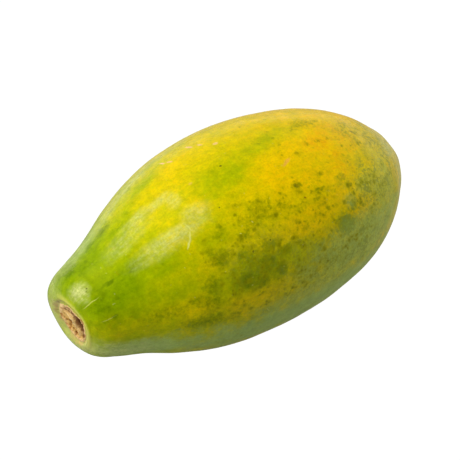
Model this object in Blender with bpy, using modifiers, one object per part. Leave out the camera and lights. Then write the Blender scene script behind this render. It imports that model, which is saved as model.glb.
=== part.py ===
"""A whole papaya, lying on its side.

The fruit grew as one piece, so it is one closed solid. It is turned from one outline about
its long axis, and then takes what turning can't give: five shallow ribs, a section a little
wider than it is high, a slight sideways bow, a leaning stem end, and the small flat spot
it lies on.

Units are metres and +Z is up. The long axis runs along X, with the stem end at -X. The
origin is under the middle of the fruit's box, on the surface that it lies on.
"""

import math

import bmesh
import bpy
from mathutils import Matrix, Vector

# Driving dimensions of the whole fruit.
LENGTH = 0.215  # stem end to blossom tip, along the long axis
HALF_HEIGHT = 0.0555  # largest radius, measured up and down
WIDER = 1.035  # half width over half height
BOW = 0.0038  # how far the middle of the long axis bows towards +Y
STEM_DROP = math.radians(3.0)  # the slim stem end hangs lower than the blossom end

# The corky scar where the stalk was: a shallow saucer in the domed end, a little off its middle.
SCAR_RADIUS = 0.0110
SCAR_DEPTH = 0.0020
SCAR_EDGE_DEPTH = 0.0006
SCAR_SIDE_SHIFT = -0.0048
SCAR_UP_SHIFT = 0.0024
SHIFT_REACH = 0.0180  # the shift dies away at this radius
SHOULDER_RADIUS = 0.0142  # the rounded shoulder round the scar

# How the end's plane leans, as slopes: its +Y side and its top stick out further.
END_SIDE_LEAN = 0.105
END_UP_LEAN = 0.031
END_SADDLE = 0.029  # the end dips twice on the way round
END_SADDLE_TURN = math.radians(49.0)
LEAN_FADE = 7  # how fast the lean dies away along the neck

# The small nipple at the blossom end, standing in a shallow dimple.
NIPPLE_RADIUS = 0.0032
NIPPLE_HEIGHT = 0.0016

# Ribs, as a share of the local radius.
RIB_COUNT = 5
RIB_TURN = math.radians(6.0)
RIB_MIDDLE = 0.004
RIB_STEM = 0.012
RIB_BLOSSOM = 0.032

# How far up the pressed spot on the underside reaches.
FLAT_DEPTH = 0.0006

# Fineness of the mesh.
SIDES = 56
STEPS_BETWEEN_POINTS = 3
MERGE_DISTANCE = 0.00001

# The body's outline: share of the length from the stem end, share of the largest radius.
BODY_OUTLINE = (
    (0.006, 0.324),
    (0.023, 0.402),
    (0.070, 0.494),
    (0.140, 0.600),
    (0.233, 0.775),
    (0.344, 0.925),
    (0.465, 0.999),
    (0.577, 1.004),
    (0.698, 0.938),
    (0.800, 0.821),
    (0.879, 0.652),
    (0.944, 0.429),
    (0.979, 0.267),
)


def clear_scene():
    """Remove whatever objects the opened file holds."""
    for old_object in list(bpy.data.objects):
        bpy.data.objects.remove(old_object, do_unlink=True)


def outline_points():
    """The half outline as (distance from the stem end, radius), scar first, tip last."""
    scar = [
        (SCAR_DEPTH, 0.0),
        (SCAR_DEPTH, SCAR_RADIUS * 0.5),
        (SCAR_DEPTH * 0.7, SCAR_RADIUS * 0.8),
        (SCAR_EDGE_DEPTH, SCAR_RADIUS),
        (0.0, SHOULDER_RADIUS),
    ]
    body = [(LENGTH * along, HALF_HEIGHT * radius) for along, radius in BODY_OUTLINE]
    nipple = [
        (LENGTH - NIPPLE_HEIGHT * 1.4, NIPPLE_RADIUS * 2.6),
        (LENGTH - NIPPLE_HEIGHT, NIPPLE_RADIUS * 1.6),
        (LENGTH - NIPPLE_HEIGHT * 0.5, NIPPLE_RADIUS * 0.9),
        (LENGTH, 0.0),
    ]
    return scar + body + nipple


def turned_body(collection):
    """Turn the outline about Z, stem end up, and return the closed mesh."""
    curve = bpy.data.curves.new("outline", "CURVE")
    curve.dimensions = "3D"
    curve.resolution_u = STEPS_BETWEEN_POINTS
    spline = curve.splines.new("BEZIER")
    points = outline_points()
    spline.bezier_points.add(len(points) - 1)
    for knot, (along, radius) in zip(spline.bezier_points, points):
        knot.co = (radius, 0.0, -along)
        knot.handle_left_type = "AUTO"
        knot.handle_right_type = "AUTO"

    outline = bpy.data.objects.new("outline", curve)
    collection.objects.link(outline)
    turning = outline.modifiers.new("turning", "SCREW")
    turning.axis = "Z"
    turning.steps = SIDES
    turning.render_steps = SIDES
    turning.use_merge_vertices = True
    turning.merge_threshold = MERGE_DISTANCE

    depsgraph = bpy.context.evaluated_depsgraph_get()
    mesh = bpy.data.meshes.new_from_object(outline.evaluated_get(depsgraph))
    bpy.data.objects.remove(outline, do_unlink=True)
    return mesh


def grow(bm):
    """Give the turned body, which lies along X, its ribs, wider section, bow and leaning end."""
    for vertex in bm.verts:
        along, side, up = vertex.co
        middleness = 2.0 * along / LENGTH - 1.0
        stemness = max(-middleness, 0.0)
        blossomness = max(middleness, 0.0)
        rib = RIB_MIDDLE + RIB_STEM * stemness**6 + RIB_BLOSSOM * blossomness**4
        turn = math.atan2(up, side)
        radius = math.hypot(side, up)
        swell = 1.0 + rib * math.cos(RIB_COUNT * (turn - RIB_TURN))
        bow = BOW * (1.0 - middleness**2) ** 2
        saddle = END_SADDLE * radius * math.cos(2.0 * (turn - END_SADDLE_TURN))
        lean = (END_SIDE_LEAN * side + END_UP_LEAN * up + saddle) * stemness**LEAN_FADE
        if stemness > 0.0 and radius < SHIFT_REACH:
            inward = 1.0 - (radius / SHIFT_REACH) ** 2
            side += SCAR_SIDE_SHIFT * inward
            up += SCAR_UP_SHIFT * inward
        vertex.co = (along - lean, side * swell * WIDER + bow, up * swell)


def press_flat(bm):
    """Slice off the lowest sliver and close the cut with one flat face."""
    lowest = min(vertex.co.z for vertex in bm.verts)
    cut = bmesh.ops.bisect_plane(
        bm,
        geom=bm.verts[:] + bm.edges[:] + bm.faces[:],
        plane_co=(0.0, 0.0, lowest + FLAT_DEPTH),
        plane_no=(0.0, 0.0, 1.0),
        clear_inner=True,
    )
    cut_edges = [part for part in cut["geom_cut"] if isinstance(part, bmesh.types.BMEdge)]
    bmesh.ops.edgeloop_fill(bm, edges=cut_edges)


def stand_on_origin(bm):
    """Move the fruit so that the origin is under the middle of its box."""
    low = Vector([min(vertex.co[axis] for vertex in bm.verts) for axis in range(3)])
    high = Vector([max(vertex.co[axis] for vertex in bm.verts) for axis in range(3)])
    foot = Vector(((low.x + high.x) / 2, (low.y + high.y) / 2, low.z))
    bmesh.ops.translate(bm, vec=-foot, verts=bm.verts)


def skin_material():
    """Half-ripe skin: yellow-green with a soft waxy shine."""
    material = bpy.data.materials.new("skin")
    material.use_nodes = True
    shader = material.node_tree.nodes["Principled BSDF"]
    shader.inputs["Base Color"].default_value = (0.52, 0.50, 0.03, 1.0)
    shader.inputs["Roughness"].default_value = 0.42
    shader.inputs["Metallic"].default_value = 0.0
    return material


def build_papaya(collection):
    """Make the fruit and put it in the collection."""
    mesh = turned_body(collection)
    mesh.name = "papaya"

    bm = bmesh.new()
    bm.from_mesh(mesh)
    bmesh.ops.rotate(bm, verts=bm.verts, matrix=Matrix.Rotation(math.radians(-90.0), 3, "Y"))
    grow(bm)
    bmesh.ops.rotate(bm, verts=bm.verts, matrix=Matrix.Rotation(-STEM_DROP, 3, "Y"))
    press_flat(bm)
    stand_on_origin(bm)
    bmesh.ops.recalc_face_normals(bm, faces=bm.faces)
    bm.to_mesh(mesh)
    bm.free()

    mesh.shade_smooth()
    mesh.set_sharp_from_angle(angle=math.radians(40.0))
    mesh.materials.clear()
    mesh.materials.append(skin_material())
    papaya = bpy.data.objects.new("papaya", mesh)
    collection.objects.link(papaya)
    return papaya


clear_scene()
fruit_collection = bpy.data.collections.new("papaya")
bpy.context.scene.collection.children.link(fruit_collection)
build_papaya(fruit_collection)
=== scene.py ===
import math

import bpy
import numpy as np
from mathutils import Matrix, Vector, noise


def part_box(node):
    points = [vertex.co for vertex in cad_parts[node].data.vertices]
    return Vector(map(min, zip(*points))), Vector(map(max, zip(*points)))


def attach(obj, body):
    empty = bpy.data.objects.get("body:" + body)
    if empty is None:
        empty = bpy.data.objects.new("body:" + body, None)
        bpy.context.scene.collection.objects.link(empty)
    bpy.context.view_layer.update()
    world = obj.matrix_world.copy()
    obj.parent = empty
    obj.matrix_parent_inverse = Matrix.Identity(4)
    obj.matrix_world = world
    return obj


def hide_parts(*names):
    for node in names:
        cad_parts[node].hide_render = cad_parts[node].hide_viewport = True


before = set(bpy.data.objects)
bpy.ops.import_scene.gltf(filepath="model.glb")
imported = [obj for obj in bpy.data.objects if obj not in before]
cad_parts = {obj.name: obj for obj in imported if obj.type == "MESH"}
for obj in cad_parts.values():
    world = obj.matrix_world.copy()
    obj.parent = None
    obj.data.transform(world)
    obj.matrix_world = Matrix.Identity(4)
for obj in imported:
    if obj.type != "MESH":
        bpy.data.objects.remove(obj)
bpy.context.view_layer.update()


# --- The fruit's form -------------------------------------------------------------------
# A papaya grows as one closed fruit: an egg-shaped body with a short neck, and five soft
# ribs where its five seed walls meet the skin. It lies on one small spot that it has
# pressed flat. Lengths below are in metres, or in MM.
MM = 0.001
low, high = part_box("papaya")
LENGTH = (high.x - low.x) * 0.9906  # along the axis, stem end to blossom tip
HALF_HEIGHT = (high.z - low.z) * 0.49645
WIDER = 1.035  # half width over half height
BOW = LENGTH * 0.0177
STEM_DROP = math.radians(3.0)
PRESSED = 0.6 * MM  # how far the resting spot is pushed in

SCAR_RADIUS = LENGTH * 0.0512
SCAR_EDGE_DEPTH = LENGTH * 0.0042
SHOULDER_RADIUS = LENGTH * 0.0670  # the rounded shoulder round the scar
SHIFT_REACH = LENGTH * 0.0837
SCAR_SHIFT = (-0.310, 0.178)  # the scar's middle off the axis, as shares of that reach
END_LEAN = (0.105, 0.031)  # slopes of the domed end: its +Y side and its top stick out
END_SADDLE = 0.029
END_SADDLE_TURN = math.radians(49.0)
NIPPLE_RADIUS = LENGTH * 0.0149
NIPPLE_HEIGHT = LENGTH * 0.00744

RIBS = 5
RIB_TURN = math.radians(6.0)
RIB_MIDDLE = 0.004  # how proud the ribs stand, as shares of the local radius
RIB_STEM = 0.012
RIB_BLOSSOM = 0.032
LEAN_FADE = 7  # how fast the domed end's lean dies away along the neck

# The body's outline: share of the length from the stem end, share of the half height.
OUTLINE_FINENESS = 40  # steps between one point and the next
BODY_OUTLINE = (
    (0.006, 0.324), (0.023, 0.402), (0.070, 0.494), (0.140, 0.600), (0.233, 0.775),
    (0.344, 0.925), (0.465, 0.999), (0.577, 1.004), (0.698, 0.938), (0.800, 0.821),
    (0.879, 0.652), (0.944, 0.429), (0.979, 0.267),
)


def outline_line():
    """The half outline as a fine line of (along, radius), scar first and tip last."""
    points = [
        (SCAR_EDGE_DEPTH, 0.0),
        (SCAR_EDGE_DEPTH, SCAR_RADIUS * 0.6),
        (SCAR_EDGE_DEPTH, SCAR_RADIUS),
        (0.0, SHOULDER_RADIUS),
    ]
    points += [(LENGTH * along, HALF_HEIGHT * radius) for along, radius in BODY_OUTLINE]
    points += [
        (LENGTH - NIPPLE_HEIGHT * 1.4, NIPPLE_RADIUS * 2.6),
        (LENGTH - NIPPLE_HEIGHT, NIPPLE_RADIUS * 1.6),
        (LENGTH - NIPPLE_HEIGHT * 0.5, NIPPLE_RADIUS * 0.9),
        (LENGTH, 0.0),
    ]
    curve = bpy.data.curves.new("outline", "CURVE")
    curve.dimensions = "3D"
    curve.resolution_u = OUTLINE_FINENESS
    spline = curve.splines.new("BEZIER")
    spline.bezier_points.add(len(points) - 1)
    for knot, (along, radius) in zip(spline.bezier_points, points):
        knot.co = (along, radius, 0.0)
        knot.handle_left_type = "AUTO"
        knot.handle_right_type = "AUTO"
    drawn = bpy.data.objects.new("outline", curve)
    bpy.context.scene.collection.objects.link(drawn)
    evaluated = drawn.evaluated_get(bpy.context.evaluated_depsgraph_get())
    mesh = bpy.data.meshes.new_from_object(evaluated)
    drawn_line = np.array([vertex.co[:2] for vertex in mesh.vertices])
    bpy.data.objects.remove(drawn)
    return drawn_line


def grow(along, radius, turn):
    """Give the turned outline its ribs, wider section, bow, leaning end and drooping neck."""
    side = radius * np.cos(turn)
    up = radius * np.sin(turn)
    middleness = 2.0 * along / LENGTH - 1.0
    stemness = np.clip(-middleness, 0.0, None)
    blossomness = np.clip(middleness, 0.0, None)
    rib = RIB_MIDDLE + RIB_STEM * stemness**6 + RIB_BLOSSOM * blossomness**4
    swell = 1.0 + rib * np.cos(RIBS * (turn - RIB_TURN))
    saddle = END_SADDLE * radius * np.cos(2.0 * (turn - END_SADDLE_TURN))
    lean = (END_LEAN[0] * side + END_LEAN[1] * up + saddle) * stemness**LEAN_FADE
    inward = np.clip(1.0 - (radius / SHIFT_REACH) ** 2, 0.0, None) * (stemness > 0.0) * SHIFT_REACH
    side = (side + SCAR_SHIFT[0] * inward) * swell * WIDER + BOW * (1.0 - middleness**2) ** 2
    up = (up + SCAR_SHIFT[1] * inward) * swell
    along = along - lean
    drop_cos = math.cos(STEM_DROP)
    drop_sin = math.sin(STEM_DROP)
    return np.stack((along * drop_cos - up * drop_sin, side, along * drop_sin + up * drop_cos), -1)


def smooth(start, end, value):
    """0 before start, 1 past end and an easy curve between; start may be the larger."""
    share = np.clip((value - start) / (end - start), 0.0, 1.0)
    return share * share * (3.0 - 2.0 * share)


def clouds(places, size, seed, octaves=3):
    """Soft noise of about -1 to 1 at each place, with lumps of that size."""
    shift = Vector((seed * 7.31, seed * 3.17, seed * 5.53))
    return np.array([noise.fractal(Vector(place) / size + shift, 0.8, 2.1, octaves) for place in places])


line = outline_line()
travelled = np.concatenate(([0.0], np.cumsum(np.hypot(*np.diff(line, axis=0).T))))
total = travelled[-1]

# The rings of the skin's mesh, measured along that outline: from, to and spacing.
SCAR_ZONE = 18 * MM
STRETCHES = (
    (0.0, SCAR_ZONE, 0.28 * MM), (SCAR_ZONE, 34 * MM, 0.5 * MM),
    (34 * MM, total - 12 * MM, 0.95 * MM), (total - 12 * MM, total, 0.45 * MM),
)
stations = np.concatenate([
    np.linspace(start, end, round((end - start) / spacing), endpoint=False)
    for start, end, spacing in STRETCHES
])[1:]
SIDES = 280  # points round each ring
RINGS = len(stations)
ring_along = np.interp(stations, travelled, line[:, 0])
ring_radius = np.interp(stations, travelled, line[:, 1])
turns = np.arange(SIDES) * (2.0 * math.pi / SIDES)

# One value per point: every ring in order, then the middle of the scar and the blossom tip.
along = np.append(np.repeat(ring_along, SIDES), (SCAR_EDGE_DEPTH, LENGTH))
radius = np.append(np.repeat(ring_radius, SIDES), (0.0, 0.0))
turn = np.append(np.tile(turns, RINGS), (0.0, 0.0))
arc = np.append(np.repeat(stations, SIDES), (0.0, total))
share = along / LENGTH
turn_deg = np.degrees(turn)
around_scar = arc < 22 * MM  # the scar with the skin round it


# --- The stem scar ----------------------------------------------------------------------
# Where the stalk broke off: a low oval ring of pale cork round a torn, corky middle. The far
# half is a plateau with small pits, and the near half fell away in a ragged hollow.

# Places are in millimetres from the scar's middle: near is towards the top and the -Y side of
# the rim, and down is a quarter turn on from it.
NEAR_TURN = math.radians(134.0)
near = radius / MM * np.cos(turn - NEAR_TURN)
down = radius / MM * np.sin(turn - NEAR_TURN)
oval = np.hypot(near / 0.94, down / 1.06)
scar_places = np.stack((near, down, np.zeros_like(near)), -1)
inside = arc < 17.5 * MM  # the scar and its lip

crumbs = np.zeros_like(along)
crumbs[around_scar] = clouds(scar_places[around_scar], size=1.6, seed=3, octaves=4)
lumps = np.zeros_like(along)
lumps[around_scar] = clouds(scar_places[around_scar], size=4.0, seed=8, octaves=3)


def bump(at_near, at_down, long, wide=None, slant=0.0):
    """A soft round or oval lump of 0 to 1 on the scar."""
    wide = long if wide is None else wide
    lean = math.radians(slant)
    off_near = near - at_near
    off_down = down - at_down
    u = (off_down * math.cos(lean) + off_near * math.sin(lean)) / long
    v = (off_near * math.cos(lean) - off_down * math.sin(lean)) / wide
    return np.exp(-(u * u + v * v))


def hump(value, middle, half_width):
    """1 where the value is at the middle, falling softly to 0 on both sides."""
    return np.exp(-(((value - middle) / half_width) ** 2))


# The ring of pale cork, which wanders in and out a little on its way round.
RING_RADIUS = 9.4
RING_HALF_WIDTH = 0.95
RING_HEIGHT = 0.75
ring_line = RING_RADIUS + 0.35 * np.cos(3.0 * turn + 1.0) + 0.70 * lumps + 0.35 * crumbs
ring_ridge = hump(oval, ring_line, RING_HALF_WIDTH)
within_ring = smooth(ring_line + 0.1, ring_line - 1.3, oval)

# The torn edge of the plateau: how far near it runs, and how far the hollow falls, by down.
TORN_EDGE = ((-9.0, -4.5), (-8.3, -3.4), (-6.9, -1.6), (-5.9, -0.6), (-4.6, 0.2), (-2.0, 0.4),
             (0.0, -0.4), (3.0, -0.8), (5.0, 0.2), (7.0, -1.0), (8.5, -1.6))
FALL = ((-9.5, 0.2), (-8.0, 0.6), (-6.0, 0.8), (-3.5, 0.9), (-2.0, 1.5), (-0.5, 2.6),
        (2.5, 3.0), (4.5, 2.6), (6.0, 1.7), (7.5, 1.2), (9.0, 0.8), (10.0, 0.2))
torn_edge = np.interp(down, *zip(*TORN_EDGE)) + 0.6 * lumps + 0.3 * crumbs
fallen = smooth(torn_edge - 0.4, torn_edge + 1.4, near)
fallen = fallen * smooth(ring_line + 0.1, ring_line - 1.0, oval)
fallen_depth = np.interp(down, *zip(*FALL))

# Pits in the plateau: near, down, radius, depth.
PLATEAU_DEPTH = 0.35
PITS = (
    (-5.2, -1.0, 1.25, 1.7), (-7.6, -2.8, 0.7, 0.8), (-7.0, 1.1, 0.8, 1.0), (-3.9, 2.0, 0.9, 1.0),
    (-6.2, 2.8, 0.75, 0.9), (-5.6, 5.3, 0.8, 1.3), (-3.2, -4.4, 0.6, 0.5), (-0.2, 9.0, 1.2, 1.5),
    (-3.4, 7.4, 0.6, 0.6), (-5.2, -6.0, 0.6, 0.5), (-2.6, 4.6, 0.6, 0.6),
)
pits = sum(depth * bump(at_near, at_down, size) for at_near, at_down, size, depth in PITS)

# In and beside the hollow: a deep pocket low down, a crest along the torn edge, a folded flap
# and loose strands.
POCKET_DEPTH = 0.9
CREST_HEIGHT = 0.85
FOLD_HEIGHT = 1.3
STRAND_HEIGHT = 0.7
pocket = bump(4.4, 7.4, 1.2)
crest = hump(near, torn_edge - 0.9, 0.75) * smooth(9.0, 6.0, np.abs(down))
fold = bump(2.2, 7.1, 2.2, 0.75, -69.0) + 0.7 * bump(3.6, 4.9, 1.6, 0.55, -60.0)
strands = bump(3.4, -5.6, 2.6, 0.5, 20.0) + 0.8 * bump(4.9, -3.4, 2.0, 0.45, 14.0)
flaps = CREST_HEIGHT * crest + FOLD_HEIGHT * fold + STRAND_HEIGHT * strands

# Round the ring: a shallow groove, then a low lip of skin, with one dip on its far side.
LIP_DIP_DEPTH = 1.1
LIP_DIP_TURN = 306.0
lip_side = smooth(-0.2, 0.7, np.cos(turn - NEAR_TURN))
groove = hump(oval, 11.3, 0.7) * (0.25 - 0.10 * lip_side)
lip_ridge = hump(oval, 13.0, 1.5) * (0.15 + 0.05 * lip_side)
lip_dip = LIP_DIP_DEPTH * hump(oval, 13.6, 1.7) * hump(turn_deg, LIP_DIP_TURN, 13.0)

# How far each point sinks into the end, in millimetres; below 0 it stands out.
relief = (
    PLATEAU_DEPTH * within_ring
    + fallen * fallen_depth
    + (pits + POCKET_DEPTH * pocket) * within_ring
    - (RING_HEIGHT + 0.3 * crumbs) * ring_ridge
    - flaps * within_ring
    + (0.50 * crumbs + 0.30 * lumps) * smooth(11.4, 9.4, oval)
    + groove
    - lip_ridge
    + lip_dip
)
relief[~inside] = 0.0


# --- The fruit's mesh -------------------------------------------------------------------
# The skin is one sheet wrapped round the form, fine at the scar and the nipple. It swells
# and dents a little, as a fruit does that grew against its neighbours.
SWELL_HEIGHT = 0.32 * MM
DENT_DEPTH = 0.10 * MM
form = grow(along, radius, turn)
swells = clouds(form, size=34 * MM, seed=1, octaves=2)
dents = clouds(form, size=11 * MM, seed=2, octaves=2)
off_the_ends = smooth(2 * MM, 30 * MM, arc) * smooth(total - 1 * MM, total - 14 * MM, arc)
radius = radius + (SWELL_HEIGHT * swells + DENT_DEPTH * dents) * off_the_ends


def turned_from(at_turn):
    """How far round from that turn each point is, -180 to 180 degrees."""
    return np.mod(turn_deg - at_turn + 180.0, 360.0) - 180.0


# The knuckle behind the stem end, the waist after it, and a small lump and hollow by the tip:
# share, turn, half length as a share, half width in degrees, height in millimetres.
SWELLINGS = (
    (0.036, 100, 0.024, 60, 0.85), (0.095, 100, 0.032, 60, -1.15),
    (0.905, 160, 0.015, 8, 0.6), (0.866, 166, 0.018, 9, -0.4),
)
past_the_scar = smooth(17 * MM, 21 * MM, arc)
for at_share, at_turn, long, wide, rise in SWELLINGS:
    swelling = hump(share, at_share, long) * hump(turned_from(at_turn), 0.0, wide)
    radius = radius + rise * MM * swelling * past_the_scar

# The blossom end: a low five-lobed button inside a shallow groove, and a dent beside it.
BUTTON_HEIGHT = 0.45
BUTTON_GROOVE = 0.60
TIP_DENT = 1.5
from_tip = radius / MM
lobes = np.cos(RIBS * (turn - RIB_TURN))
button = BUTTON_HEIGHT * hump(from_tip, 5.0, 1.7) * (1.0 + 0.35 * lobes)
button = button - BUTTON_GROOVE * hump(from_tip, 8.6, 1.5)
button = button - TIP_DENT * hump(share, 0.968, 0.013) * hump(turn_deg, 158.0, 17.0)
button = np.where(share > 0.90, button, 0.0)
form = grow(along + (relief + button) * MM, radius, turn)

# Stand it where the frame's papaya stands, with the resting spot pressed flat.
foot = form.min(0)
middle = (form.min(0) + form.max(0)) / 2
form[:, 0] += (low.x + high.x) / 2 - middle[0]
form[:, 1] += (low.y + high.y) / 2 - middle[1]
form[:, 2] -= foot[2] + PRESSED
form[:, 2] = np.clip(form[:, 2], 0.0, None)

stem_pole = RINGS * SIDES
blossom_pole = stem_pole + 1
faces = []
for ring in range(RINGS - 1):
    start = ring * SIDES
    for step in range(SIDES):
        onward = (step + 1) % SIDES
        faces.append((start + step, start + SIDES + step, start + SIDES + onward, start + onward))
last = (RINGS - 1) * SIDES
for step in range(SIDES):
    onward = (step + 1) % SIDES
    faces.append((step, onward, stem_pole))
    faces.append((last + onward, last + step, blossom_pole))

fruit_mesh = bpy.data.meshes.new("papaya_fruit")
fruit_mesh.from_pydata(form.tolist(), [], faces)
fruit_mesh.shade_smooth()
papaya_fruit = bpy.data.objects.new("papaya_fruit", fruit_mesh)
bpy.context.scene.collection.objects.link(papaya_fruit)

# The skin unrolled: round the girth across, from the scar to the tip upwards. The scar gets
# three times its share, and the cut runs along the underside.
CUT_TURN = math.radians(285.0)
SCAR_SHARE = 0.19  # of the sheet's height
unrolled_up = np.interp(arc, (0.0, SCAR_ZONE, total), (0.0, SCAR_SHARE, 1.0))
unrolled_across = np.mod(turn - CUT_TURN, 2.0 * math.pi) / (2.0 * math.pi)
corners = np.zeros(len(fruit_mesh.loops), np.int32)
fruit_mesh.loops.foreach_get("vertex_index", corners)
across = unrolled_across[corners]
up = unrolled_up[corners]

# A face that crosses the cut keeps its corners together, past the sheet's right edge, and a
# pole's corner stands midway between its face's two others.
sizes = np.zeros(len(fruit_mesh.polygons), np.int32)
fruit_mesh.polygons.foreach_get("loop_total", sizes)
owner = np.repeat(np.arange(len(sizes)), sizes)
widest = np.zeros(len(sizes))
np.maximum.at(widest, owner, across)
across = across + ((widest[owner] > 0.75) & (across < 0.25))
is_pole = corners >= stem_pole
ring_corner_sum = np.zeros(len(sizes))
np.add.at(ring_corner_sum, owner, np.where(is_pole, 0.0, across))
across = np.where(is_pole, ring_corner_sum[owner] / 2.0, across)
unrolled = fruit_mesh.uv_layers.new(name="OFBake")
unrolled.data.foreach_set("uv", np.stack((across, up), -1).ravel())


# --- The skin's pattern -----------------------------------------------------------------
# Half ripe: green holds out at the neck and in patches, and yellow spreads from the blossom
# end. Each field below is one number per point of the skin.

# Patches are placed by share of the length and by turn in degrees round the axis: 0 is +Y,
# 90 the top and 180 is -Y.
girth = np.interp(arc, travelled, line[:, 1]) / MM
ragged = clouds(form, size=7 * MM, seed=4, octaves=4)
drift = clouds(form, size=26 * MM, seed=5, octaves=2)


def patch(at_share, at_turn, long, wide, slant, edge, tear):
    """How far a patch covers each point: 1 in its middle and 0 outside its torn edge.
    long and wide are half sizes in millimetres, and slant turns it, in degrees."""
    ahead = (share - at_share) * LENGTH / MM
    round_by = np.radians(turned_from(at_turn)) * girth
    lean = math.radians(slant)
    u = (ahead * math.cos(lean) + round_by * math.sin(lean)) / long
    v = (round_by * math.cos(lean) - ahead * math.sin(lean)) / wide
    return smooth(1.0 + edge, 1.0 - edge, np.hypot(u, v) + tear * ragged)


def cover(patches, edge, tear):
    """How strongly a set of patches covers each point, the strongest patch winning."""
    covered = np.zeros_like(along)
    for at_share, at_turn, long, wide, slant, strength in patches:
        laid = strength * patch(at_share, at_turn, long, wide, slant, edge, tear)
        covered = np.maximum(covered, laid)
    return covered


# Ripeness: 0 leaf green, 0.45 lime, 0.75 yellow, 1 amber.
# It grows from the stem end to the tip, here as pairs of share and ripeness.
RIPENING = (
    (0.0, 0.24), (0.05, 0.18), (0.12, 0.24), (0.16, 0.32), (0.20, 0.43), (0.25, 0.50), (0.30, 0.56),
    (0.36, 0.61), (0.50, 0.66), (0.60, 0.72), (0.70, 0.80), (0.80, 0.87), (1.0, 0.86),
)
ripeness = np.interp(share, *zip(*RIPENING)) + 0.04 * drift
# Patches of it: share, turn, half length, half width, slant, ripeness, strength.
RIPE_PATCHES = (
    # the neck, greener above and yellower low on the -Y side
    (0.07, 68, 20, 7, 0, 0.10, 0.8),
    (0.09, 125, 16, 7, 0, 0.10, 0.8),
    (0.14, 168, 38, 9, 0, 0.50, 0.9),
    (0.12, 152, 22, 4, 0, 0.30, 0.6),
    (0.20, 131, 9, 4, 0, 0.26, 0.6),
    (0.06, 138, 10, 4, 0, 0.14, 0.6),
    # the top
    (0.28, 62, 24, 8, 0, 0.42, 0.6),
    (0.33, 83, 16, 9, 0, 0.72, 0.7),
    (0.27, 101, 12, 6, 0, 0.62, 0.7),
    (0.42, 98, 9, 6, 0, 0.46, 0.6),
    (0.470, 105, 12, 8, 20, 0.40, 0.95),
    (0.395, 107, 6, 5, 0, 0.46, 0.6),
    (0.56, 95, 20, 6, -10, 0.50, 0.9),
    (0.685, 96, 9, 5, 0, 0.56, 0.8),
    (0.30, 70, 7, 3, 0, 0.34, 0.7),
    (0.575, 113, 17, 8, 0, 0.86, 0.9),
    (0.75, 103, 20, 8, 0, 0.95, 0.8),
    (0.80, 118, 14, 9, 0, 0.93, 0.8),
    # the -Y side
    (0.35, 127, 12, 8, 0, 0.40, 0.7),
    (0.42, 126, 14, 4, 0, 0.60, 0.6),
    (0.65, 125, 30, 7, 0, 0.86, 0.7),
    (0.45, 140, 9, 5, 0, 0.62, 0.6),
    (0.61, 144, 20, 8, 0, 0.80, 0.8),
    (0.665, 152, 8, 6, 0, 0.64, 0.7),
    (0.45, 76, 18, 6, 0, 0.78, 0.6),
    (0.41, 159, 26, 8, 0, 0.34, 0.8),
    (0.545, 162, 12, 7, 0, 0.50, 0.8),
    (0.24, 168, 9, 6, 0, 0.62, 0.7),
    (0.41, 174, 18, 5, 0, 0.64, 0.8),
    (0.84, 150, 14, 26, 0, 0.66, 0.8),
    (0.66, 176, 36, 12, 0, 0.50, 0.9),
    (0.50, 202, 80, 14, 0, 0.40, 0.9),
    # the underside and the far side
    (0.35, 240, 30, 18, 10, 0.35, 0.8),
    (0.62, 262, 34, 20, 0, 0.48, 0.7),
    (0.48, 292, 22, 12, -20, 0.80, 0.7),
    (0.30, 318, 16, 12, 15, 0.34, 0.7),
    (0.58, 338, 26, 12, 10, 0.84, 0.7),
    (0.44, 8, 16, 9, -15, 0.46, 0.8),
    (0.70, 20, 24, 12, 0, 0.90, 0.7),
    (0.75, 305, 18, 12, 0, 0.60, 0.7),
)
for at_share, at_turn, long, wide, slant, value, strength in RIPE_PATCHES:
    laid = strength * patch(at_share, at_turn, long, wide, slant, edge=0.75, tear=0.30)
    ripeness = ripeness + (value - ripeness) * laid

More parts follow.
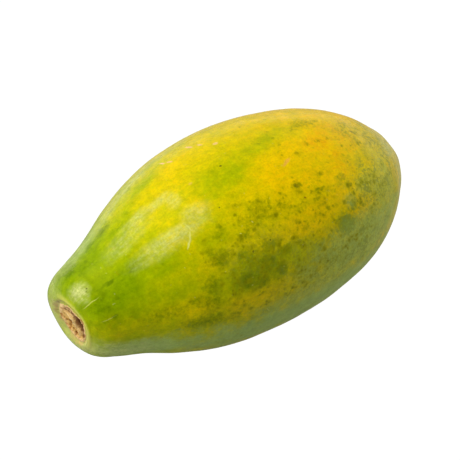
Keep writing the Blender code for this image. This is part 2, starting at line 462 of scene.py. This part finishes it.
# Dark green left in the skin, and one patch of painted shade low on the underside by the blossom end:
# share, turn, half length, half width, slant, strength.
DARK_GREEN_AND_SHADE_PATCHES = (
    (0.42, 157, 17, 9, 0, 0.60), (0.378, 160, 5, 5, 20, 1.00), (0.44, 156, 5, 5.5, 0, 0.9),
    (0.47, 162, 3.5, 4.5, 0, 0.9), (0.413, 164, 5, 4, 0, 0.8), (0.385, 146, 4, 2.6, 0, 0.8),
    (0.40, 149, 3, 2.4, 0, 0.8), (0.491, 154, 4, 3, 20, 0.75), (0.455, 148, 6, 3.0, 0, 0.8),
    (0.47, 132, 12, 5, 0, 0.38), (0.41, 137, 3.4, 2.8, 0, 0.6), (0.335, 143, 5.6, 4.6, 0, 0.75),
    (0.315, 136, 2.6, 2.6, 0, 0.6), (0.295, 155, 5, 5, 0, 0.65), (0.18, 165, 8, 4, 0, 0.5),
    (0.278, 165, 6, 3.4, 0, 0.6), (0.25, 162, 3.6, 3.0, 0, 0.5),
    (0.265, 180, 13, 4.6, 0, 0.60), (0.33, 181, 6, 3.4, 0, 0.5), (0.35, 130, 3, 2.4, 0, 0.5),
    (0.154, 118, 5, 2.4, 0, 0.45), (0.064, 152.5, 2.6, 2.2, 0, 0.35), (0.046, 68, 5, 3.2, 0, 0.50),
    (0.16, 66, 5.5, 3.0, 0, 0.6), (0.04, 138, 4, 1.8, 0, 0.45), (0.055, 126, 4, 1.6, 0, 0.4),
    (0.59, 126, 3.0, 2.2, 0, 0.7), (0.638, 133.5, 4.2, 2.6, 0, 0.6), (0.716, 132, 3.6, 2.2, 0, 0.45),
    (0.533, 133, 4, 2.4, 0, 0.5), (0.565, 147, 3, 2, 0, 0.4), (0.55, 163, 14, 4, 10, 0.2),
    (0.40, 188, 12, 3, 0, 0.4), (0.365, 127, 2.6, 3.0, 0, 0.5), (0.62, 160, 10, 4, 0, 0.35),
    # The patch at share 0.78, turn 198 is painted shade.
    (0.815, 106, 7, 3.0, 12, 0.34), (0.78, 198, 10, 8, 0, 0.45), (0.03, 157, 6, 3.4, 0, 0.30),
    (0.72, 89, 9, 4, 0, 0.42), (0.81, 116, 6, 4, 0, 0.30), (0.680, 157.5, 6.6, 5.8, 30, 1.00),
    (0.715, 150, 5, 4, 0, 0.60),
    (0.34, 228, 14, 7, 15, 0.7), (0.52, 246, 14, 8, -10, 0.6), (0.68, 232, 8, 5, 0, 0.5),
    (0.28, 262, 8, 6, 0, 0.6), (0.44, 280, 10, 5, 30, 0.5), (0.30, 312, 10, 6, 0, 0.7),
    (0.40, 322, 6, 4.5, 0, 0.6), (0.56, 318, 10, 5, -20, 0.5), (0.40, 2, 9, 5, 0, 0.7),
    (0.47, 12, 7, 5.5, 30, 0.7), (0.62, 350, 6, 4, 0, 0.5), (0.22, 30, 7, 4, 0, 0.5),
    (0.72, 292, 9, 6, 0, 0.5),
)
dark_green_and_painted_shade = cover(DARK_GREEN_AND_SHADE_PATCHES, edge=0.8, tear=0.30)

# Grey-green patches: dull wax over green skin, and a painted reflection of the floor along the underside
# and of the pale wall along the upper back edges: as above.
GREY_WAX_AND_REFLECTION_PATCHES = (
    (0.680, 157.5, 6.0, 5.4, 30, 0.42), (0.69, 164, 4, 4, 0, 0.50), (0.73, 173, 44, 15, 0, 0.72),
    (0.55, 203, 82, 14, 0, 0.85), (0.14, 203, 26, 8, 0, 0.85), (0.56, 186, 40, 6, 0, 0.55),
    (0.84, 158, 14, 16, 0, 0.50), (0.79, 143, 12, 7, 0, 0.40), (0.715, 147, 5, 4, 30, 0.45),
    (0.60, 275, 12, 9, 0, 0.6), (0.36, 300, 10, 6, 0, 0.5),
    (0.66, 330, 9, 6, 20, 0.5), (0.11, 50, 14, 7, 0, 0.5), (0.30, 45, 30, 6, 0, 0.4),
)
grey_wax_and_painted_reflection = cover(GREY_WAX_AND_REFLECTION_PATCHES, edge=0.6, tear=0.3)

# Pale wax bloom on the blossom end and the far side, and pale patches of painted highlight on the
# knuckle and across the top, and of painted sheen along the upper edges and under the neck: as above.
BLOOM_AND_HIGHLIGHT_PATCHES = (
    (0.97, 130, 11, 60, 0, 0.80), (0.97, 300, 18, 60, 0, 0.45), (0.25, 117.5, 17, 4.2, 0, 0.54),
    (0.335, 113, 7, 4.5, 0, 0.42), (0.185, 120, 7, 2.2, 0, 0.42), (0.225, 89, 6, 3.0, 0, 0.62),
    (0.28, 91, 6, 2.4, 0, 0.42), (0.312, 97, 3.5, 3.5, 0, 0.42), (0.18, 94, 10, 5, 0, 0.40),
    (0.025, 106, 3.4, 4.6, 0, 1.00), (0.038, 105, 2.4, 3.2, 0, 0.55), (0.30, 54, 42, 5, 0, 0.60),
    (0.66, 50, 30, 4, 0, 0.40), (0.04, 204, 22, 7, 0, 0.60),
    (0.06, 52, 18, 6, 0, 0.42), (0.30, 280, 20, 12, 0, 0.4), (0.60, 20, 24, 12, 0, 0.4),
)
bloom_and_painted_highlight = cover(BLOOM_AND_HIGHLIGHT_PATCHES, edge=0.7, tear=0.35)

# How thickly the olive freckles lie: as above.
FRECKLE_PATCHES = (
    (0.57, 146, 52, 20, 0, 0.48), (0.79, 144, 20, 14, 0, 0.62), (0.40, 140, 22, 9, 0, 0.65),
    (0.68, 103, 28, 14, 0, 0.22), (0.84, 106, 10, 12, 0, 0.70), (0.52, 172, 56, 10, 0, 0.6),
    (0.93, 140, 9, 16, 0, 0.4), (0.48, 130, 16, 7, 0, 0.75), (0.62, 130, 14, 7, 0, 0.5),
    (0.42, 156, 22, 12, 0, 0.9), (0.32, 142, 8, 10, 0, 0.7), (0.20, 160, 30, 14, 0, 0.2),
    (0.55, 240, 50, 22, 0, 0.4), (0.78, 290, 20, 24, 0, 0.8), (0.60, 340, 40, 16, 0, 0.45),
    (0.80, 30, 18, 20, 0, 0.6), (0.42, 10, 20, 12, 0, 0.4),
)
freckles = cover(FRECKLE_PATCHES, edge=0.7, tear=0.4)

# A dense, fine grey-green stipple, thickest round the blossom end: as above.
STIPPLE_PATCHES = (
    (0.81, 146, 20, 16, 0, 0.9), (0.90, 122, 9, 16, 0, 0.95), (0.70, 164, 22, 9, 0, 0.7),
    (0.66, 180, 46, 12, 0, 0.7), (0.54, 160, 20, 9, 0, 0.5), (0.43, 152, 22, 12, 0, 0.4),
    (0.82, 106, 12, 10, 0, 0.35), (0.84, 250, 20, 50, 0, 0.8),
    (0.86, 10, 16, 30, 0, 0.7),
)
stipple = cover(STIPPLE_PATCHES, edge=0.7, tear=0.4)

# The scar's cork: the plateau, the hollow, whose colour deepens with depth as dark cork and painted
# shade together, and the pits.
low_end = hump(turn_deg, 258.0, 26.0)
cork_edge = 10.5 - 0.1 * lip_side + 0.9 * low_end + 0.7 * lumps + 0.6 * crumbs
cork = np.where(inside, smooth(cork_edge + 0.4, cork_edge - 0.5, oval), 0.0)
plateau = np.where(inside, within_ring * (1.0 - fallen), 0.0)
# How dark the hollow is painted grows with its depth: partly dark cork, partly painted shade.
hollow_dark_and_shaded = fallen * (0.25 + 0.75 * fallen_depth / 3.0) + 0.8 * pocket + 0.5 * bump(-0.2, 9.0, 1.1)
hollow_dark_and_shaded = hollow_dark_and_shaded + 0.38 * crumbs + 0.12 * lumps - 0.80 * fold - 0.6 * strands
hollow_dark_and_shaded = np.where(inside, np.clip(hollow_dark_and_shaded, 0.0, 1.0) * within_ring, 0.0)
pitted = np.where(inside, np.clip(pits, 0.0, 1.0) * within_ring, 0.0)

# A brown halo round the cork, greyest at its top, and then the skin's pale lip.
halo_reach = 11.6 + 1.5 * np.clip(np.cos(turn - math.radians(36.0)), 0.0, None)
halo_reach = halo_reach + 2.0 * low_end
halo = np.where(inside, smooth(halo_reach + 1.4, halo_reach - 1.6, oval + 1.5 * lumps), 0.0)
halo = halo * (1.0 - cork) * (1.0 - 0.55 * lip_side)
greyed = smooth(0.0, 0.9, np.cos(turn - math.radians(30.0)))
lip_reach = 13.2 + 3.2 * smooth(0.5, -0.8, np.cos(turn - math.radians(115.0)))
lip_reach = lip_reach + 3.0 * hump(turn_deg, 202.0, 26.0)
lip = np.where(around_scar, smooth(lip_reach + 4.0, lip_reach - 2.4, oval + 1.6 * lumps), 0.0)
# A painted highlight on the near lip, where the rounded skin catches the light.
near_lip_highlight = np.where(around_scar, hump(oval, 14.6 + 0.5 * lumps, 1.9), 0.0)
near_lip_highlight = near_lip_highlight * smooth(0.0, 0.7, np.cos(turn - math.radians(142.0)))
lip_green = smooth(-0.1, 0.7, np.cos(turn - math.radians(118.0)))

# The brown blossom scar in the middle of the button.
tip = np.where(share > 0.95, smooth(3.0, 1.0, from_tip + 0.6 * lobes), 0.0)

# Coordinates that follow the skin's growth, for streaks that run from stem to tip.
STREAK_SQUEEZE = 0.12  # lengths along the fruit count this much, so noise is drawn out
STREAK_RADIUS = 55 * MM
growth = np.stack(
    (arc * STREAK_SQUEEZE, STREAK_RADIUS * np.cos(turn), STREAK_RADIUS * np.sin(turn)), -1
)

# The fields are stored on the skin's mesh, for its material to read.
FIELDS = {
    "ripeness": ripeness, "dark_green_and_painted_shade": dark_green_and_painted_shade, "grey_wax_and_painted_reflection": grey_wax_and_painted_reflection, "bloom_and_painted_highlight": bloom_and_painted_highlight, "freckles": freckles,
    "stipple": stipple, "cork": cork, "plateau": plateau, "hollow_dark_and_shaded": hollow_dark_and_shaded, "pitted": pitted,
    "halo": halo, "greyed": greyed, "lip": lip, "lip_green": lip_green, "near_lip_highlight": near_lip_highlight,
    "tip": tip, "crest": np.where(inside, np.clip(crest, 0.0, 1.0) * within_ring, 0.0),
    "crumbs": np.clip(0.5 + 0.5 * crumbs, 0.0, 1.0),
}
for name, values in FIELDS.items():
    stored = fruit_mesh.attributes.new(name, "FLOAT", "POINT")
    stored.data.foreach_set("value", np.ascontiguousarray(values, np.float32))
growth_field = fruit_mesh.attributes.new("growth", "FLOAT_VECTOR", "POINT")
growth_field.data.foreach_set("vector", growth.astype(np.float32).ravel())


# --- The skin's material ----------------------------------------------------------------
# Thin, tight skin with a satin natural wax. Its colour follows ripeness, broken up by mottling, streaks
# and freckles, with some highlight, sheen, reflection and shade painted in. The scar is dry, rough cork.
skin = bpy.data.materials.new("ripening_skin")
skin.use_nodes = True
tree = skin.node_tree
tree.nodes.clear()


def add(kind, values=None, **settings):
    """Add a node, set its options, and set or link its inputs by name or number."""
    made = tree.nodes.new(kind)
    for option, value in settings.items():
        setattr(made, option, value)
    for socket, value in (values or {}).items():
        if isinstance(value, bpy.types.NodeSocket):
            tree.links.new(value, made.inputs[socket])
        else:
            made.inputs[socket].default_value = value
    return made


def field(name):
    return add("ShaderNodeAttribute", attribute_name=name).outputs["Fac"]


def sum_of(a, b):
    return add("ShaderNodeMath", {0: a, 1: b}, operation="ADD").outputs[0]


def times(a, b):
    return add("ShaderNodeMath", {0: a, 1: b}, operation="MULTIPLY").outputs[0]


def less(a, b):
    return add("ShaderNodeMath", {0: a, 1: b}, operation="SUBTRACT").outputs[0]


def ease(value, start, end, low_out=0.0, high_out=1.0):
    """Map start..end to low_out..high_out with an easy curve."""
    made = add("ShaderNodeMapRange", {
        "Value": value, "From Min": start, "From Max": end, "To Min": low_out, "To Max": high_out,
    }, interpolation_type="SMOOTHSTEP")
    return made.outputs["Result"]


def mix(under, over, amount):
    """Lay one colour over another."""
    made = add("ShaderNodeMix", data_type="RGBA")
    for socket, value in ((0, amount), (6, under), (7, over)):
        if isinstance(value, bpy.types.NodeSocket):
            tree.links.new(value, made.inputs[socket])
        else:
            made.inputs[socket].default_value = value
    return made.outputs[2]


def grain(size, detail=2.0, rough=0.5, places=None):
    """Noise of 0 to 1 with lumps of that size in metres."""
    made = add("ShaderNodeTexNoise", {
        "Vector": places or skin_place, "Scale": 1.0 / size, "Detail": detail, "Roughness": rough,
    })
    return made.outputs["Fac"]


def bent(lumps_per_metre, detail, amount):
    """The skin's places, each shifted a little by noise, so that the edges of marks waver."""
    waver = add("ShaderNodeTexNoise", {
        "Vector": skin_place, "Scale": lumps_per_metre, "Detail": detail,
    }).outputs["Color"]
    shift = add("ShaderNodeVectorMath", {0: waver, "Scale": amount}, operation="SCALE").outputs[0]
    return add("ShaderNodeVectorMath", {0: skin_place, 1: shift}, operation="ADD").outputs[0]


def paint(red, green, blue):
    """A colour given as it looks on a screen, 0 to 255, made linear."""
    parts = (red / 255, green / 255, blue / 255)
    linear = [((part + 0.055) / 1.055) ** 2.4 if part > 0.04 else part / 12.92 for part in parts]
    return (*linear, 1.0)


skin_place = add("ShaderNodeTexCoord").outputs["Object"]
growth_place = add("ShaderNodeAttribute", attribute_name="growth").outputs["Vector"]

# Ripeness wanders at three sizes, and in streaks along the fruit.
mottle = times(less(grain(9 * MM, 3.0), 0.5), 0.32)
mottle = sum_of(mottle, times(less(grain(2.6 * MM, 3.0), 0.5), 0.24))
mottle = sum_of(mottle, times(less(grain(2.4 * MM, 3.0, 0.6, growth_place), 0.5), 0.16))
ripe = sum_of(field("ripeness"), mottle)
ramp = add("ShaderNodeValToRGB", {"Fac": ripe})
stops = ramp.color_ramp.elements
RIPE_COLOURS = (
    (0.00, paint(104, 136, 0)), (0.15, paint(136, 163, 0)), (0.30, paint(156, 175, 0)),
    (0.45, paint(186, 190, 0)), (0.60, paint(214, 200, 0)), (0.75, paint(234, 205, 0)),
    (0.88, paint(250, 207, 0)), (1.00, paint(246, 186, 0)),
)
while len(stops) < len(RIPE_COLOURS):
    stops.new(0.5)
for stop, (position, colour) in zip(stops, RIPE_COLOURS):
    stop.position = position
    stop.color = colour
colour = ramp.outputs["Color"]

# Dark green that has not turned yet, and one patch of painted shade, with soft edges broken by fine
# mottling.
fine = grain(1.6 * MM, 3.0, 0.6)
dark_green_and_shade_cover = ease(sum_of(field("dark_green_and_painted_shade"), times(less(fine, 0.5), 1.3)), 0.05, 1.0, 0.0, 0.90)
colour = mix(colour, paint(100, 125, 0), dark_green_and_shade_cover)
# Pale grey-green: dull wax, and painted reflection of the floor and wall on the underside and upper
# edges.
grey_and_reflection_cover = ease(sum_of(field("grey_wax_and_painted_reflection"), times(less(fine, 0.5), 0.6)), 0.05, 1.0, 0.0, 0.9)
colour = mix(colour, paint(166, 194, 106), grey_and_reflection_cover)

# Stipple: a greenish cast, and a fine net of grey-green specks in it.
stippled = field("stipple")
colour = mix(colour, paint(196, 200, 40), times(stippled, 0.40))
net = sum_of(grain(1.3 * MM, 3.0, 0.65), times(less(grain(5 * MM, 2.0), 0.5), 0.5))
colour = mix(colour, paint(140, 150, 54), times(stippled, ease(net, 0.47, 0.61, 0.0, 0.78)))

# Freckles: soft olive dots in three sizes, each with a wider, fainter halo, and pale blotches
# of the same green between them.
bent_place = bent(520.0, 3.0, 2.2 * MM)
clusters = times(less(grain(6 * MM, 2.0), 0.5), 1.5)
thick = sum_of(field("freckles"), clusters)
blotches = ease(grain(4.2 * MM, 3.0, 0.6), 0.50, 0.68, 0.0, 0.55)
colour = mix(colour, paint(150, 152, 0), times(ease(thick, 0.2, 0.9), blotches))
# For each size: spacing, radius as a share of it, strength, and how much scarcer it is.
FRECKLE_SIZES = (
    (4.4 * MM, 0.19, 0.60, 0.05), (2.8 * MM, 0.22, 0.48, 0.0), (1.8 * MM, 0.26, 0.36, 0.10),
)
for spacing, dot, strength, scarcer in FRECKLE_SIZES:
    cells = add("ShaderNodeTexVoronoi", {"Vector": bent_place, "Scale": 1.0 / spacing}, feature="F1")
    chance = add("ShaderNodeSeparateColor", {0: cells.outputs["Color"]})
    present = ease(less(less(thick, scarcer), chance.outputs[0]), 0.0, 0.35)
    size = ease(chance.outputs[1], 0.0, 1.0, dot * 0.5, dot * 1.5)
    core = ease(less(size, cells.outputs["Distance"]), -0.12, 0.16)
    soft = ease(less(times(size, 2.4), cells.outputs["Distance"]), -0.10, 0.45)
    colour = mix(colour, paint(166, 162, 0), times(times(present, soft), 0.55))
    colour = mix(colour, paint(112, 116, 0), times(times(present, core), strength))

# Wax bloom and painted highlight: a pale film, mottled and drawn out a little along the fruit. On the
# knuckle, across the top and along the edges it is painted highlight and sheen.
drawn_out = times(grain(3.2 * MM, 4.0, 0.7, growth_place), 0.45)
film = sum_of(drawn_out, times(grain(1.9 * MM, 3.0, 0.65), 0.55))
bloom_and_highlight_cover = times(field("bloom_and_painted_highlight"), ease(film, 0.36, 0.64, 0.20, 1.0))
colour = mix(colour, paint(218, 222, 142), bloom_and_highlight_cover)

# Pale pin-prick flecks in the wax, a few to the square centimetre.
flecks = add("ShaderNodeTexVoronoi", {"Vector": bent_place, "Scale": 1.0 / (3.2 * MM)}, feature="F1")
fleck_chance = add("ShaderNodeSeparateColor", {0: flecks.outputs["Color"]})
fleck = times(ease(less(0.17, flecks.outputs["Distance"]), 0.0, 0.16),
              ease(fleck_chance.outputs[2], 0.64, 0.80))
colour = mix(colour, paint(224, 224, 130), times(fleck, 0.36))


def skin_spot(at_share, at_turn):
    """The point of the skin at that share and turn, and the ways forward and round from it."""
    off_by = np.abs(share - at_share) * 4.0 + np.abs(turned_from(at_turn)) / 90.0
    here = int(np.argmin(np.where(arc < 17 * MM, 9.0, off_by)))
    place = Vector(form[here])
    forward = (Vector(form[here + SIDES]) - place).normalized()
    onward = here + 1 if (here + 1) % SIDES else here + 1 - SIDES
    sideways = (Vector(form[onward]) - place).normalized()
    return place, forward, sideways


# Single marks, such as scratches, rubs, dark dots and leaf-green flecks: share, turn, half
# length and half width in millimetres, slant, colour, strength.
SCRATCH = paint(226, 226, 110)
PEACH = paint(252, 208, 156)
DOT = paint(74, 70, 18)
RUSSET = paint(150, 70, 14)
LEAF = paint(92, 124, 0)
APRICOT = paint(246, 176, 76)
TAN = paint(222, 178, 84)
OLIVE = paint(110, 105, 50)
MARKS = (
    (0.302, 117.2, 2.4, 0.48, 83, SCRATCH, 0.75), (0.295, 121.7, 2.7, 0.52, 120, SCRATCH, 0.80),
    (0.281, 125.4, 2.9, 0.58, 134, SCRATCH, 0.85),
    (0.027, 124.5, 5.4, 0.30, -6, SCRATCH, 0.60), (0.047, 150.5, 4.8, 0.28, -4, SCRATCH, 0.45),
    (0.094, 116.5, 2.8, 1.1, -14, LEAF, 0.90), (0.080, 116.2, 2.6, 0.8, -10, LEAF, 0.60),
    (0.064, 151.0, 1.7, 1.1, 0, LEAF, 0.50), (0.042, 138.5, 1.5, 1.0, 0, LEAF, 0.35),
    (0.370, 67, 2.2, 0.6, 70, PEACH, 0.9), (0.385, 70.5, 2.2, 0.55, 60, PEACH, 0.8),
    (0.450, 69, 2.4, 0.75, 70, PEACH, 0.9), (0.470, 73, 1.6, 0.65, 60, PEACH, 0.8),
    (0.500, 80, 1.4, 0.9, 40, PEACH, 0.65), (0.605, 111.8, 3.6, 0.9, -24, APRICOT, 0.6),
    (0.370, 95.5, 1.2, 1.0, 0, TAN, 0.45),
    (0.460, 97, 0.7, 0.6, 0, DOT, 0.85), (0.390, 116.5, 0.5, 0.5, 0, DOT, 0.8),
    (0.465, 145, 0.5, 0.5, 0, DOT, 0.8), (0.410, 146, 0.5, 0.5, 0, DOT, 0.7),
    (0.590, 126, 1.9, 1.1, 30, DOT, 0.40), (0.595, 134, 0.6, 0.5, 0, RUSSET, 0.8),
    (0.838, 103.2, 1.6, 0.8, 30, OLIVE, 0.6),
    (0.041, 107.8, 0.5, 0.5, 0, DOT, 0.75), (0.036, 111, 0.4, 0.4, 0, DOT, 0.4),
    (0.440, 133, 0.7, 0.25, 70, SCRATCH, 0.8), (0.400, 135, 0.6, 0.25, 40, SCRATCH, 0.7),
    (0.385, 164, 0.6, 0.3, 0, SCRATCH, 0.8), (0.420, 187, 1.6, 0.3, 60, SCRATCH, 0.7),
    (0.250, 138, 0.5, 0.25, 30, SCRATCH, 0.6),
)
MARK_WAVER = 1.3 * MM
MARK_DEPTH = 4 * MM
mark_place = bent(420.0, 2.0, MARK_WAVER)
mean_shift = Vector((0.5, 0.5, 0.5)) * MARK_WAVER
for at_share, at_turn, long, wide, slant, tint, strength in MARKS:
    place, forward, sideways = skin_spot(at_share, at_turn)
    outward = forward.cross(sideways).normalized()
    spin = Matrix.Rotation(math.radians(slant), 3, outward)
    ahead = spin @ forward
    facing = Matrix((ahead, outward.cross(ahead), outward)).transposed()
    to_mark = add("ShaderNodeMapping", {
        "Vector": mark_place, "Location": place + mean_shift,
        "Rotation": facing.to_euler(), "Scale": (long * MM, wide * MM, MARK_DEPTH),
    }, vector_type="TEXTURE")
    off = add("ShaderNodeVectorMath", {0: to_mark.outputs[0]}, operation="LENGTH").outputs["Value"]
    colour = mix(colour, tint, ease(off, 1.25, 0.6, 0.0, strength))

# The whole skin is finely speckled, lighter and darker.
speckle = times(less(grain(1.2 * MM, 4.0, 0.7), 0.5), 0.75)
speckle = sum_of(speckle, times(less(grain(4.5 * MM, 2.0), 0.5), 0.40))
speckled = add("ShaderNodeHueSaturation", {"Value": sum_of(speckle, 1.0), "Color": colour})
colour = speckled.outputs["Color"]

# The pale lip round the scar, then its brown halo, crumbled darker where it is greyest, and a painted
# highlight on the near lip.
valleys = field("crumbs")
cork_grain = grain(0.9 * MM, 4.0, 0.65)
cork_lumps = grain(2.4 * MM, 3.0, 0.6)
lip_colour = mix(paint(206, 210, 112), paint(186, 200, 48), field("lip_green"))
colour = mix(colour, lip_colour, times(field("lip"), ease(cork_lumps, 0.2, 0.8, 0.60, 0.95)))
halo_colour = mix(paint(226, 186, 116), paint(190, 164, 104), field("greyed"))
colour = mix(colour, halo_colour, times(field("halo"), ease(cork_lumps, 0.36, 0.64, 0.30, 1.0)))
crumbled = times(times(field("halo"), field("greyed")), ease(valleys, 0.45, 0.70, 0.0, 0.75))
colour = mix(colour, paint(128, 92, 56), crumbled)
# Painted highlight along the near lip.
colour = mix(colour, paint(222, 216, 104), times(field("near_lip_highlight"), 0.80))

# The blossom end's small brown scar.
colour = mix(colour, paint(120, 88, 44), times(field("tip"), 0.85))

# The cork: pale on its ring and crest, amber on the plateau, brown in its pits and darkest in the
# hollow, where dark cork and painted shade deepen with depth.
cork_colour = mix(paint(250, 214, 152), paint(204, 152, 98), ease(valleys, 0.40, 0.75))
cork_colour = mix(cork_colour, paint(228, 184, 92), times(field("plateau"), 0.75))
cork_colour = mix(cork_colour, paint(178, 112, 48), ease(valleys, 0.62, 0.95, 0.0, 0.75))
cork_colour = mix(cork_colour, paint(252, 224, 164), times(field("crest"), 0.75))
cork_colour = mix(cork_colour, paint(140, 70, 12), ease(field("pitted"), 0.1, 0.8))
# Dark cork and painted shade in the hollow, deepest where it sinks furthest.
cork_colour = mix(cork_colour, paint(146, 102, 62), ease(field("hollow_dark_and_shaded"), 0.05, 0.45))
cork_colour = mix(cork_colour, paint(58, 28, 10), ease(field("hollow_dark_and_shaded"), 0.55, 0.95))
cork_colour = mix(cork_colour, paint(128, 86, 54), ease(cork_grain, 0.56, 0.70, 0.0, 0.65))
cork_cover = ease(sum_of(field("cork"), times(less(cork_grain, 0.5), 0.5)), 0.25, 0.75)
colour = mix(colour, cork_colour, cork_cover)

# Gloss: satin where the wax is whole, duller in grey patches, dry on the cork.
shine = sum_of(ease(grain(6 * MM, 3.0), 0.3, 0.7, 0.24, 0.36), times(field("grey_wax_and_painted_reflection"), 0.12))
gloss = add("ShaderNodeMix", {0: cork_cover, 2: shine, 3: 0.88}, data_type="FLOAT").outputs[0]

# Fine relief: a faint orange-peel grain, the wax's flecks, and crumbly cork.
peel = sum_of(times(grain(0.9 * MM, 2.0), 0.45), times(grain(3.0 * MM, 2.0), 1.3))
peel = sum_of(peel, times(grain(1.4 * MM, 2.0, 0.5, growth_place), 0.5))
peel = sum_of(peel, times(fleck, 0.25))
height = sum_of(times(less(1.0, cork_cover), peel), times(cork_cover, times(cork_grain, 6.0)))
surface = add("ShaderNodeBump", {"Height": height, "Strength": 0.5, "Distance": 0.12 * MM})

# The wax shines a warm yellow where it faces the eye, and has a thin white sheen at the edges.
shader = add("ShaderNodeBsdfPrincipled", {
    "Base Color": colour, "Roughness": gloss, "Normal": surface.outputs[0],
    "Specular IOR Level": 0.24, "IOR": 1.45, "Sheen Weight": 0.21, "Sheen Roughness": 0.10,
    "Specular Tint": (1.0, 0.97, 0.03, 1.0),
})
add("ShaderNodeOutputMaterial", {"Surface": shader.outputs[0]})
fruit_mesh.materials.append(skin)

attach(papaya_fruit, "root")
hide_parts("papaya")


# --- The floor --------------------------------------------------------------------------
# A wide sheet of matt paper that glows evenly, so that it looks white and the fruit's shadow
# stays faint. It throws nothing back at the fruit: a second sheet in its place does, which
# the camera doesn't see.
FLOOR_HALF = 3.0
FLOOR_CORNERS = ((-1, -1), (1, -1), (1, 1), (-1, 1))


def sheet(name, shade, glow):
    """A flat floor sheet of matt paper with that shade, and its own even glow."""
    mesh = bpy.data.meshes.new(name)
    corner_places = [(x * FLOOR_HALF, y * FLOOR_HALF, 0.0) for x, y in FLOOR_CORNERS]
    mesh.from_pydata(corner_places, [], [(0, 1, 2, 3)])
    made = bpy.data.objects.new(name, mesh)
    bpy.context.scene.collection.objects.link(made)
    paper = bpy.data.materials.new(name)
    paper.use_nodes = True
    paper_shader = paper.node_tree.nodes["Principled BSDF"]
    paper_shader.inputs["Base Color"].default_value = (shade, shade, shade, 1.0)
    paper_shader.inputs["Roughness"].default_value = 1.0
    paper_shader.inputs["Specular IOR Level"].default_value = 0.0
    paper_shader.inputs["Emission Color"].default_value = (1.0, 1.0, 1.0, 1.0)
    paper_shader.inputs["Emission Strength"].default_value = glow
    mesh.materials.append(paper)
    return made


floor = sheet("floor", 0.50, 0.70)
floor.visible_diffuse = False
floor.visible_glossy = False
bounce = sheet("bounce", 0.85, 0.06)
bounce.visible_camera = False


# --- The light --------------------------------------------------------------------------
# A big softbox overhead, a little behind and towards the stem, a smaller one at the stem
# side, and a pale wall behind. Two low cards, one at each end, lighten the fruit's ends and
# don't show in its gloss.
room = bpy.data.worlds.new("pale_room")
bpy.context.scene.world = room
room.use_nodes = True
walls = room.node_tree
backdrop = walls.nodes["Background"]
backdrop.inputs["Strength"].default_value = 1.0
direction = walls.nodes.new("ShaderNodeTexCoord")


def toward(way, start, end, low_out, high_out):
    """How far a direction points that way, from low_out to high_out with an easy curve."""
    along_way = walls.nodes.new("ShaderNodeVectorMath")
    along_way.operation = "DOT_PRODUCT"
    along_way.inputs[1].default_value = way
    walls.links.new(direction.outputs["Generated"], along_way.inputs[0])
    ramp_node = walls.nodes.new("ShaderNodeMapRange")
    ramp_node.interpolation_type = "SMOOTHSTEP"
    ramp_node.inputs["From Min"].default_value = start
    ramp_node.inputs["From Max"].default_value = end
    ramp_node.inputs["To Min"].default_value = low_out
    ramp_node.inputs["To Max"].default_value = high_out
    walls.links.new(along_way.outputs["Value"], ramp_node.inputs["Value"])
    return ramp_node.outputs["Result"]


# The wall stands behind and is brightest low down; the room is dim overhead and in front, with
# a faint glow of its own that grows towards the blossom side.
wall_glow = walls.nodes.new("ShaderNodeMath")
wall_glow.operation = "MULTIPLY_ADD"
walls.links.new(toward((0.0, 1.0, 0.0), -0.75, 0.25, 0.0, 1.0), wall_glow.inputs[0])
walls.links.new(toward((0.0, 0.0, 1.0), -0.02, 0.34, 1.00, 0.10), wall_glow.inputs[1])
walls.links.new(toward((1.0, 0.0, 0.0), 0.45, 1.00, 0.20, 0.50), wall_glow.inputs[2])
walls.links.new(wall_glow.outputs[0], backdrop.inputs["Color"])

# Beyond the floor's edge there is only white paper.
paper_wall = walls.nodes.new("ShaderNodeBackground")
paper_wall.inputs["Color"].default_value = (1.0, 1.0, 1.0, 1.0)
which = walls.nodes.new("ShaderNodeMixShader")
walls.links.new(walls.nodes.new("ShaderNodeLightPath").outputs["Is Camera Ray"], which.inputs[0])
walls.links.new(backdrop.outputs[0], which.inputs[1])
walls.links.new(paper_wall.outputs[0], which.inputs[2])
walls.links.new(which.outputs[0], walls.nodes["World Output"].inputs["Surface"])


def panel(name, place, width, depth, radiance, aim=None):
    """A rectangular light of even brightness, facing straight down unless it is aimed."""
    lamp = bpy.data.lights.new(name, "AREA")
    lamp.shape = "RECTANGLE"
    lamp.size = width
    lamp.size_y = depth
    lamp.energy = radiance * width * depth * math.pi
    holder = bpy.data.objects.new(name, lamp)
    holder.location = place
    if aim is not None:
        holder.rotation_euler = (Vector(aim) - Vector(place)).to_track_quat("-Z", "Y").to_euler()
    bpy.context.scene.collection.objects.link(holder)
    return holder


panel("softbox", (-0.315, 0.275, 1.05), 0.48, 1.10, 4.5)
panel("side_softbox", (-1.30, 0.15, 0.95), 0.5, 0.5, 8.0, (-0.1, 0.0, 0.05))
blossom_card = panel("blossom_card", (0.72, -0.20, 0.07), 0.4, 0.3, 4.2, (0.1, 0.0, 0.05))
blossom_card.visible_glossy = False
stem_card = panel("stem_card", (-0.75, 0.02, 0.10), 0.4, 0.3, 2.2, (-0.1, 0.0, 0.04))
stem_card.visible_glossy = False


# --- The camera -------------------------------------------------------------------------
# A long lens, well above the fruit and towards its stem side, held level. It is so far off
# that the fruit hardly narrows with distance.
centre = Vector((0.0007, 0.0007, (low.z + high.z) / 2))
AZIMUTH = math.radians(-35.84)
ELEVATION = math.radians(40.0)
DISTANCE = 1.0832
back = Vector((
    math.sin(AZIMUTH) * math.cos(ELEVATION),
    -math.cos(AZIMUTH) * math.cos(ELEVATION),
    math.sin(ELEVATION),
))
lens = bpy.data.cameras.new("camera")
lens.sensor_width = 36.0
lens.lens = 156.5
lens.clip_start = 0.01
camera = bpy.data.objects.new("camera", lens)
camera.location = centre + back * DISTANCE
camera.rotation_euler = (-back).to_track_quat("-Z", "Y").to_euler()
bpy.context.scene.collection.objects.link(camera)
bpy.context.scene.camera = camera
bpy.context.scene.view_settings.view_transform = "Standard"

bpy.context.view_layer.update()
